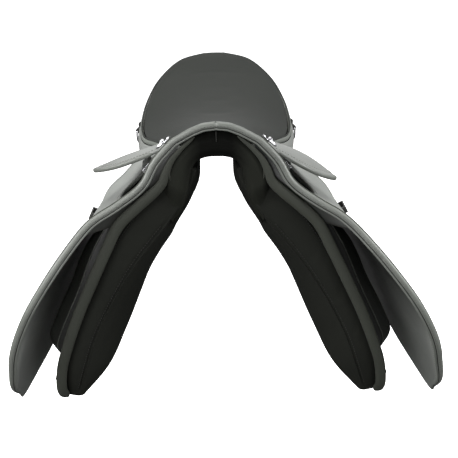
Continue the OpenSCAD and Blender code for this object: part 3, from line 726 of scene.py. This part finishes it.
def build_seat():
    t = np.concatenate([np.linspace(0, 0.8, 60), np.linspace(0.8, 1, 34)[1:]])
    u = np.sin(np.linspace(-1, 1, 64) * np.pi / 2)
    top = seat_cover_at(t[:, None], u[None, :])
    # the cover rolls under at its edge, so that a groove is left above the piping
    top[..., 2] -= 1.2 * smooth(0.985, 1.0, np.abs(u))[None, :]
    bottom = seat_cover_at(t[:, None], u[None, :], 3.0, 2.2)
    v, f = two_sided(bottom, top)
    seat = piece("seat_cover_piece", v, f, "seat_skin")
    free = smooth(0.0, 0.35, 1 - np.abs(u))[None, :] * smooth(0.0, 0.05, t)[:, None] * smooth(0.0, 0.03, 1 - t)[:, None]
    swell(seat, np.concatenate([np.zeros(free.size), free.ravel()]), 0.8)
    fixed_piece(seat, "seat_cover")
    foam_t = np.linspace(0.045, 0.985, 40)
    foam_u = np.sin(np.linspace(-1, 1, 30) * np.pi / 2)
    up = seat_cover_at(foam_t[:, None], foam_u[None, :], 3.4, 3.2)
    low = seat_cover_at(foam_t[:, None], foam_u[None, :], 3.4, 4.2)
    low[..., 2] -= mix(20.0, 6.0, np.abs(foam_u) ** 3)[None, :] * np.minimum(1, 0.25 + 4 * foam_t[:, None])
    v, f = two_sided(low, up)
    foam = piece("seat_foam_piece", v, f, "foam")
    fixed_piece(foam, "seat_foam")
    # piping band under the seat's edge
    path, out = seat_edge(drop=5.8, out=0.4, start=0.012)
    upright = np.broadcast_to([0, 0, 1.0], path.shape)
    fixed_piece(sweep("seat_welt_piece", path, out, upright, oval(6.4, 8.4, 14, 0.85), "binding"), "seat_welt")
    path, out = seat_edge(drop=0.9, out=0.2, start=0.012)
    fixed_piece(sweep("seat_piping_piece", path, out, upright, oval(2.8, 2.8, 8), "seat_skin"))


def build_side_band():
    """The wide band below the piping: it leaves the skirts' rear ends and runs round the cantle."""
    path, out = seat_edge(drop=10.6, out=3.6, start=0.40)
    s = np.abs(np.linspace(-1, 1, len(path)))
    height = mix(30.0, 25.0, s) * mix(1.0, 0.55, smooth(0.82, 1.0, s))
    rows = []
    for k in np.concatenate([[0, 0.03, 0.1], np.linspace(0.2, 0.8, 8), [0.9, 0.97, 1.0]]):
        drop = height * k
        bow = 2.6 * math.sin(math.pi * min(1, k * 1.05)) + 1.0 * k
        rows.append(path + out * bow - np.stack([0 * drop, 0 * drop, drop], axis=1))
    mid = np.array(rows)
    fixed_piece(sheet("side_band_piece", mid, 3.0, "skirt_skin"), "seat_side_left", "seat_side_right")
    fixed_piece(tube("side_band_edge_piece", mid[-1] + np.array([0, 0, 0.2]), 3.4, 4.2, "binding", hint=(0, 0, 1)))
    fixed_piece(stitches("side_band_stitches", mid[-4] + out * 1.6, out))
    return mid[-1]


def build_cantle(path):
    """The dark facing under the cantle, from the side band's lower edge down to the panels."""
    path = path[np.abs(np.linspace(-1, 1, len(path))) < 0.80]
    s = np.abs(np.linspace(-1, 1, len(path)))
    out = outwards(path)
    floor_z = mix(64.0, 40.0, s) + 8 * np.sin(np.pi * s)
    rows = []
    for k in np.linspace(0, 1, 14):
        p = path.copy()
        p[:, 2] = mix(path[:, 2] + 3, floor_z, k)
        p += out * (-3.5 - 8 * k + 5 * math.sin(math.pi * k))
        rows.append(p)
    fixed_piece(sheet("cantle_back_piece", np.array(rows), 3.0, "panel_skin"), "cantle_back")


# ---------------- flaps
BAND_PROFILE = [[-6.2, 0.0], [-5.6, 3.0], [-3.6, 4.4], [-0.6, 4.7], [1.6, 4.2], [2.5, 2.7], [3.3, 3.6], [4.6, 3.9],
                [5.9, 3.0], [6.4, 1.0], [6.0, -1.4], [4.4, -3.4], [1.0, -4.4], [-2.6, -4.2], [-5.2, -2.6]]
BAND_HEAD = [[0.0, -213.5, 147.2], [18, -213.5, 145.2], [35, -213.5, 138.4]]     # over the pommel, before the flap
CUT_T, CUT_W = (0.158, 0.106), (0.270, 0.190)     # centre and half size of the cut-out, as shares of the flap
CUT_POWER = 2.4                                   # 2 makes it an ellipse


def oval_share(a, b):
    """How far a point of a square outline lies out from the cut-out's oval."""
    return (np.abs(a) ** CUT_POWER + np.abs(b) ** CUT_POWER) ** (1 / CUT_POWER)


def flap_shape(t, w, side):
    return flap_rest(flap_at(t, w), t, side)


def build_flap(label, side):
    t = 0.03 + 0.97 * spaced(70, 0.006, 0.008)
    w = spaced(40, 0.010)
    T, W = np.meshgrid(t, w, indexing="ij")
    # cut-out over the stirrup bar: a block of cells is left out and the grid round it is drawn to an oval
    (tc, rt), (wc, rw) = CUT_T, CUT_W
    i0, i1 = int(np.argmin(np.abs(t - tc + rt))), int(np.argmin(np.abs(t - tc - rt)))
    j0, j1 = int(np.argmin(np.abs(w - wc + rw))), int(np.argmin(np.abs(w - wc - rw)))
    tc, rt, wc, rw = (t[i0] + t[i1]) / 2, (t[i1] - t[i0]) / 2, (w[j0] + w[j1]) / 2, (w[j1] - w[j0]) / 2
    a, b = (T - tc) / rt, (W - wc) / rw
    m = np.maximum(np.abs(a), np.abs(b))
    pull = mix(m / np.maximum(oval_share(a, b), 1e-6), 1.0, smooth(1.0, 1.9, m))
    T, W = np.clip(tc + a * pull * rt, 0.03, 1), np.clip(wc + b * pull * rw, 0, 1)
    mid = flap_shape(T, W, side)
    cut = (i0, i1, j0, j1)
    flap = sheet(f"flap_{label}_piece", mid, FLAP_T, "flap_skin", side, hole=cut)
    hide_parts(f"flap_{label}", f"flap_top_{label}")
    inside = flap_shape(np.clip(T, 0.034, 0.994), np.clip(W, 0.006, 0.994), side) - normals(mid) * (FLAP_T / 2 - 0.1)
    # the inner face gets the lining, whose colour holds painted shade near the top
    lined = sheet(f"flap_{label}_lining", inside, 0.9, "lining", side, hole=cut)
    blend_fold(lined)
    rows = []

    def sew_row(ts, ws, sign):
        """Stitches on the flap's outer face, sign 1, or on its inner face, sign -1."""
        e = 1e-3
        a = flap_shape(ts + e, ws, side) - flap_shape(ts - e, ws, side)
        b = flap_shape(ts, ws + e, side) - flap_shape(ts, ws - e, side)
        m = unit(np.cross(a, b)) * sign
        rows.append(stitches("s", flap_shape(ts, ws, side) + m * (FLAP_T / 2 + 0.2 * (1 - sign)), m, side=side))

    ts = np.linspace(0.06, 0.93, 200)
    width = np.linalg.norm(spline(FLAP_REAR, ts) - spline(FLAP_FRONT, ts), axis=1)
    for sign in (-1, 1):
        sew_row(ts, 1 - 8.0 / width, sign)
        sew_row(ts, 13.0 / width, sign)
    q = np.linspace(0.12 * np.pi, 1.88 * np.pi, 120)

    def round_cut(grow):
        """The shares of the flap along the cut-out's edge, grown by about so many millimetres."""
        c, d = np.cos(q), np.sin(q)
        f = 1 / oval_share(c, d)
        return (np.clip(tc - (rt + grow * 0.0026) * c * f, 0.035, 1),
                np.clip(wc + (rw + grow * 0.0034) * d * f, 0.012, 1))

    sew_row(*round_cut(5.0), 1)
    lip = tube(f"flap_{label}_cut_edge", resample(flap_shape(*round_cut(0.4), side), 3), 3.4, 6.2, "binding",
               hint=(-0.75, 0, -0.6), side=side)
    blend_fold(lip)
    sew = joined(f"flap_{label}_stitches", rows)
    rear = flap_shape(np.linspace(0.02, 1, 160), np.ones(160), side)
    bottom = flap_shape(np.ones(40), np.linspace(1, 0.02, 40), side)
    edge = tube(f"flap_{label}_edge", resample(np.concatenate([rear, bottom[1:]]), 4), 4.6, 6.4, "binding",
                hint=(-0.75, 0, -0.5), side=side)
    # the band along the front edge: a roll, a groove whose dark bottom is painted shade, a black strip laid in it, and
    # a bead
    tf = np.linspace(0.0, 0.99, 150)
    inward = unit(spline(FLAP_REAR, tf) - spline(FLAP_FRONT, tf))
    front = flap_rest(flap_at(tf, 0.0) + inward * 2.0, tf, side)
    path = resample(np.concatenate([BAND_HEAD, front]), 4)
    along = unit(np.gradient(path, axis=0))
    across = unit(np.cross([0.0, -1.0, 0.0], along))
    up = unit(np.cross(along, across))
    scale = mix(1.0, 0.45, smooth(0.80, 1.0, np.linspace(0, 1, len(path))))
    wide, high = across * scale[:, None], up * scale[:, None]
    band = sweep(f"flap_{label}_band", path, -across, up, BAND_PROFILE, "binding", side, scale)
    band_sew = stitches(f"flap_{label}_band_stitches", path + high * 4.6 + wide * 0.4, up, "thread_dark", side,
                        pitch=4.6, length=3.2, r=0.4)
    # painted shade: a black strip at the groove's bottom stands in for the shade in the groove
    groove_shade_strip = tube(f"flap_{label}_band_groove_shade", path - wide * 2.4 + high * 3.25, 1.7, 1.5, "thread_black",
                  side=side, k=8)
    bead = tube(f"flap_{label}_band_bead", (path + wide * 5.6 - high * 1.5)[14:], 3.4, 3.4, "border_skin",
                side=side, taper=0.05)
    for o in (flap, sew, edge, band, band_sew, groove_shade_strip, bead):
        blend_fold(o)
    if side > 0:
        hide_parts("head_binding")


# ---------------- skirts
def build_skirt(label, side):
    s = spaced(40, 0.012)
    k = spaced(22, 0.02, 0.02)
    S, K = np.meshgrid(s, k, indexing="ij")
    mid = skirt_rest(skirt_shape(S, K, side), side)
    crown = 5.2 + 1.6 * np.sin(np.pi * K) * np.sin(np.pi * S)
    skirt = sheet(f"skirt_{label}_piece", mid, crown, "skirt_skin", side)
    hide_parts(f"skirt_{label}")
    ss = np.linspace(0.0, 1.0, 160)
    edge_path = resample(skirt_rest(skirt_shape(ss, np.ones_like(ss), side), side), 3)
    edge = tube(f"skirt_{label}_edge", edge_path, 4.4, 6.6, "binding", hint=(0.3, 0, 1), side=side, taper=0.03)
    width = np.linalg.norm(spline(SKIRT_EDGE, ss) - skirt_at(ss, np.zeros_like(ss)), axis=1)
    ok = width > 26
    kk = 1 - 8.5 / width[ok]
    p = skirt_rest(skirt_shape(ss[ok], kk, side), side)
    upper = unit([0.25, 0, 1.0])
    sew = stitches(f"skirt_{label}_stitches", p + upper * 3.1, upper, side=side)
    for o in (skirt, edge, sew):
        blend_skirt(o, side)


# ---------------- panels and facing
def round_off(x):
    return np.sqrt(np.maximum(0, 1 - np.abs(2 * x - 1) ** 5))


def numbers(values, t):
    """A smooth curve through single numbers."""
    return spline([[v, 0, 0] for v in values], t)[..., 0]


def panel_grid(t, w):
    """Middle, normal and the distances to the outer and inner faces, as in the CAD source."""
    T, W = np.meshgrid(t, w, indexing="ij")
    mid = mix(spline(PANEL_FRONT, T), spline(PANEL_REAR, T), W[..., None])
    mid[..., 2] -= 4 * W * (1 - W) * numbers(PANEL_DIP, T)
    n = normals(mid)
    n = unit(n * (1, 0.2, 1))

    def half(t, w):
        thick = mix(mix(38.0, 62.0, w ** 2), 24.0, np.clip((t - 0.1) / 0.36, 0, 1))
        return thick * np.maximum(0.24, round_off(mix(0.03, 0.97, t)) * round_off(mix(0.02, 0.98, w))) / 2

    low = np.clip((T - 0.22) / 0.2, 0, 1)
    upper_out = half(T, W) * mix(0.68, 1.0, np.minimum(1, 5 * W))
    lower_out = mix(numbers(PANEL_FRONT_OUT, T), half(T, np.maximum(W, 0.1)) - 1.5, np.minimum(1, W / 0.2))
    outer = np.maximum(mix(upper_out, lower_out, low), numbers(PANEL_FULL, T) * (1 - smooth(0.0, 0.2, W)))
    inner = np.maximum(half(T, W) * mix(1.0, 0.7, low), numbers(PANEL_BULGE, T) * numbers(BULGE_SHAPE, W))
    return mid, n, outer, inner, T, W


def build_panel(label, side):
    """A panel with a leaf-shaped gusset for its front face, a seam on each side of it and a rounded lower end."""
    t = np.linspace(0, 1, 74)
    w = np.concatenate([[0, 0.004, 0.012, 0.03], np.linspace(0.06, 0.96, 24), [0.99, 1.0]])
    mid, n, outer, inner, T, W = panel_grid(t, w)
    top, under = mid + n * outer[..., None], mid - n * inner[..., None]
    # the inner face swells a little behind its front seam
    under -= n * (2.4 * bell(W, 0.05, 0.03) * smooth(0.2, 0.35, T))[..., None]
    k = np.concatenate([[0.0, 0.035, 0.07, 0.12], np.linspace(0.2, 0.8, 9), [0.88, 0.93, 0.965, 1.0]])
    a, b = top[:, :1], under[:, :1]
    face = mix(a, b, k[None, :, None])
    puff = 3.4 * np.sin(np.pi * np.clip((k - 0.06) / 0.88, 0, 1)) ** 0.6
    cut = 3.0 * (bell(k, 0.05, 0.028) + bell(k, 0.95, 0.028))
    live = smooth(0.2, 0.3, t) * (1 - smooth(0.93, 1.0, t))
    face[..., 1] += (cut - puff)[None, :] * live[:, None]
    ring = np.concatenate([top[:, ::-1], face[:, 1:-1], under], axis=1)
    caps = []
    for end, rest in ((0, 1), (-1, -2)):
        middle = ring[end].mean(axis=0)
        away = unit(middle - ring[rest].mean(axis=0))
        caps.append([mix(middle, ring[end], f) + away * d
                     for f, d in ((0.35, 6.0), (0.62, 5.4), (0.82, 4.0), (0.95, 1.8))])
    ring = np.concatenate([np.array(caps[0]), ring, np.array(caps[1][::-1])])
    panel = tubular(f"panel_{label}_piece", ring, "panel_skin", side)
    across = np.concatenate([np.zeros_like(w), np.sin(np.pi * np.clip((k[1:-1] - 0.05) / 0.90, 0, 1)),
                             smooth(0.0, 0.1, w) * smooth(0.0, 0.1, 1 - w)])
    along = smooth(0.0, 0.1, t) * smooth(0.0, 0.06, 1 - t)
    held = np.zeros((4, len(across)))     # the rings of each end's cap
    free = np.concatenate([held, along[:, None] * across[None, :], held])
    swell(panel, np.concatenate([free.ravel(), [0, 0]]), 2.4, 0.002)
    fixed_piece(panel, f"panel_{label}")
    parts = []
    ts = np.linspace(0.28, 0.95, 200)
    A = np.stack([np.interp(ts, t, top[:, 0, c]) for c in range(3)], axis=1)
    B = np.stack([np.interp(ts, t, under[:, 0, c]) for c in range(3)], axis=1)
    for f in (0.13, 0.87):
        line = mix(A, B, f) + np.array([0, -2.9, 0])
        parts.append(stitches("s", line, (0, -1, 0), "thread_black", side, pitch=4.6, length=3.3, r=0.42))
    fixed_piece(joined(f"panel_{label}_stitches", parts))
    # dark pocket between the roll and the flap's front edge
    q = np.linspace(0, 1, 30)
    near = spline(BORDER_LEAD + BORDER_LINE, mix(0.03, 0.46, q)) + np.array([0, 7.5, 0])
    far = spline(FLAP_FRONT, mix(0.0, 0.40, q)) + np.array([-2.5, 8, -3.5])
    pocket = mix(near[:, None], far[:, None], spaced(8, 0.03)[None, :, None])
    fixed_piece(sheet(f"point_pocket_{label}", pocket, 2.0, "under_skin", side))
    path = resample(spline(BORDER_LEAD + BORDER_LINE, np.linspace(0, 1, 160)), 4)
    s = np.linspace(0, 1, len(path))
    ends = np.sqrt(np.clip((1 - s) / 0.03, 0.04, 1)), np.sqrt(np.clip(s / 0.02, 0.04, 1))
    wide = mix(0.3, 1.0, smooth(0.0, 0.24, s)) * ends[0] * ends[1]
    across, up = frames(path, (0, 1, 0))
    scale = np.stack([wide, np.maximum(wide, 0.1)], axis=1)
    border = sweep(f"panel_{label}_border", path, across, up, oval(17, 11, 16), "border_skin", side, scale)
    fixed_piece(border, f"panel_border_{label}")


def arch_points(table, q):
    return spline([[x, 0, z] for x, z in table], q)


def build_facing():
    """The padded front under the pommel: it turns back at the gullet and runs down on to the panels."""
    a = np.linspace(-1, 1, 161)
    sign = np.stack([np.sign(a), a * 0, np.ones_like(a)], axis=1)
    outer, inner = arch_points(FACING_OUT, np.abs(a)) * sign, arch_points(FACING_IN, np.abs(a)) * sign
    low = smooth(0.72, 1.0, np.abs(a))
    rows = []
    for k in np.concatenate([[0, 0.015, 0.04], np.linspace(0.09, 0.91, 22), [0.96, 0.985, 1.0]]):
        p = mix(outer, inner, k)
        puff = min(1.0, math.sin(math.pi * min(k, 0.62) / 1.24) * 1.25) * (1 - 0.75 * low)
        p[:, 1] = FACING_Y - 8.6 * puff + FACING_TURN * smooth(0.55, 1.0, k) ** 2
        p[:, 1] += 2.2 * bell(a, 0, 0.010) * (1 - smooth(0.25, 0.55, k)) + 9.0 * smooth(0.70, 0.98, np.abs(a))
        rows.append(p)
    gullet_rows = (1.6, 5), (3.2, 16), (4.2, 34), (4.6, 52)     # how far down and how far back
    for d, behind in gullet_rows:
        p = inner + unit(inner - outer) * (1 - 0.9 * low)[:, None] * d
        p[:, 1] = FACING_Y + FACING_TURN + behind * (1 - 0.6 * low)
        rows.append(p)
    front = np.array(rows)
    back = front.copy()
    g = len(gullet_rows)
    back[:-g, :, 1] = np.maximum(front[:-g, :, 1] + 2.5, -203.4)
    back[-g:] += unit(outer - inner)[None] * 3.0
    v, f = two_sided(front, back)
    facing = piece("front_facing_piece", v, f, "facing_cloth", levels=1)
    fixed_piece(facing, "front_facing")
    # short centre seam and the small curved pocket edges on each side
    z = np.linspace(139, 124, 14)
    fixed_piece(tube("facing_seam", np.stack([z * 0, z * 0 - 213.4, z], axis=1), 1.2, 1.2, "thread_black"))
    for label, side in SIDES.items():
        q = np.linspace(-0.5, 0.9, 18)
        arc = np.stack([62 + 5.5 * np.cos(q * 1.2), q * 0 - 213.2, 76 + 11 * np.sin(q * 1.6)], axis=1)
        fixed_piece(tube(f"pocket_{label}", arc, 2.0, 2.2, "border_skin", side=side, taper=0.3))


# ---------------- under flaps, knee blocks and straps
def sweat_at(t, w):
    return mix(spline(SWEAT_FRONT, t), spline(SWEAT_REAR, t), np.asarray(w, float)[..., None])


def build_under(label, side):
    T, W = np.meshgrid(spaced(36, 0.008), spaced(20, 0.012), indexing="ij")
    fixed_piece(sheet(f"sweat_flap_{label}_piece", sweat_at(T, W), SWEAT_T, "under_skin", side), f"sweat_flap_{label}")
    t = np.linspace(0.02, 1, 90)
    path = np.concatenate([sweat_at(t, np.zeros(90)), sweat_at(np.ones(24), np.linspace(0, 1, 24))[1:],
                           sweat_at(t[::-1], np.ones(90))[1:]])
    fixed_piece(tube(f"sweat_flap_{label}_edge", resample(path, 3.5), 3.0, 4.6, "under_skin", hint=(-0.9, 0, -0.4),
                     side=side))
    # knee block: a leaf-shaped pad with a thin piped front edge
    a = spaced(40, 0.012)
    b = np.concatenate([[0, 0.015, 0.05], np.linspace(0.1, 0.9, 16), [0.95, 0.985, 1.0]])
    A, B = np.meshgrid(a, b, indexing="ij")
    tt = mix(0.12, 0.97, A)
    base = sweat_at(tt, mix(0.03, mix(0.33, 0.28, A), B))
    n = normals(base)
    under = base + n * (SWEAT_T / 2 + 0.4)
    dome = mix(0.3, 1.0, np.sin(np.pi * mix(0.08, 0.9, B) ** 0.9))
    rise = (numbers(BLOCK_RISE, A) + 9 * bell(A, 0.26, 0.20)) * dome
    top = under + n * rise[..., None]
    v, f = two_sided(top, under)
    block = piece(f"knee_block_{label}_piece", v, f, "under_skin", side)
    free = smooth(0.0, 0.2, B) * smooth(0.0, 0.2, 1 - B) * smooth(0.0, 0.08, A) * smooth(0.0, 0.08, 1 - A)
    swell(block, np.concatenate([free.ravel(), np.zeros(free.size)]), 1.2)
    fixed_piece(block, f"knee_block_{label}")
    line = top[:, 0] + n[:, 0] * 0.2 + np.array([0, -0.8, 0])
    fixed_piece(tube(f"knee_block_{label}_piping", resample(line[1:-1], 3), 2.0, 2.0, "binding", side=side,
                     taper=0.04, k=8))


STRAP_TOP, STRAP_END = np.array([172.0, 0, -22]), np.array([287.0, 0, -325])
STRAP_DIR = unit(STRAP_END - STRAP_TOP)
STRAP_OUT = np.array([-STRAP_DIR[2], 0, STRAP_DIR[0]])


def build_straps(label, side):
    for k, y in (("front", -92.0), ("middle", -58.0), ("rear", -24.0)):
        body = f"{k}_strap_{label}_body"
        bevelled(f"{k}_strap_{label}", body, "strap_skin", 0.9, 2, f"{k}_strap_{label}_piece")
        line = STRAP_TOP + STRAP_DIR * np.linspace(12, 305, 60)[:, None]
        rows = [stitches("s", line + np.array([0, y + e * 10.6, 0]) + STRAP_OUT * o * 2.0, STRAP_OUT * o, "thread_dark",
                         side, pitch=4.4, length=3.1, r=0.42) for e in (-1, 1) for o in (-1, 1)]
        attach(joined(f"{k}_strap_{label}_stitches", rows), body)


build_seat()
build_cantle(build_side_band())
build_facing()
for label, side in SIDES.items():
    build_flap(label, side)
    build_skirt(label, side)
    build_panel(label, side)
    build_under(label, side)
    build_straps(label, side)
    for node, body, width in ((f"stirrup_bar_{label}", "saddle", 1.2), (f"bar_rivets_{label}", "saddle", 0.3),
                              (f"bar_catch_{label}", f"catch_{label}_body", 0.5), (f"catch_pin_{label}", "saddle", 0.2),
                              (f"front_loop_{label}", "saddle", 0.5)):
        bevelled(node, body, "chrome", width)
    bevelled(f"rear_loop_{label}", "saddle", "webbing", 0.5)
    bevelled(f"leather_keeper_{label}", f"flap_{label}_body", "strap_skin", 0.8)
for part in frame["record"]["subparts"]:
    for holder in frame["nodes"][part["node"]].material_slots:
        holder.material = M[part["material_slot"]]
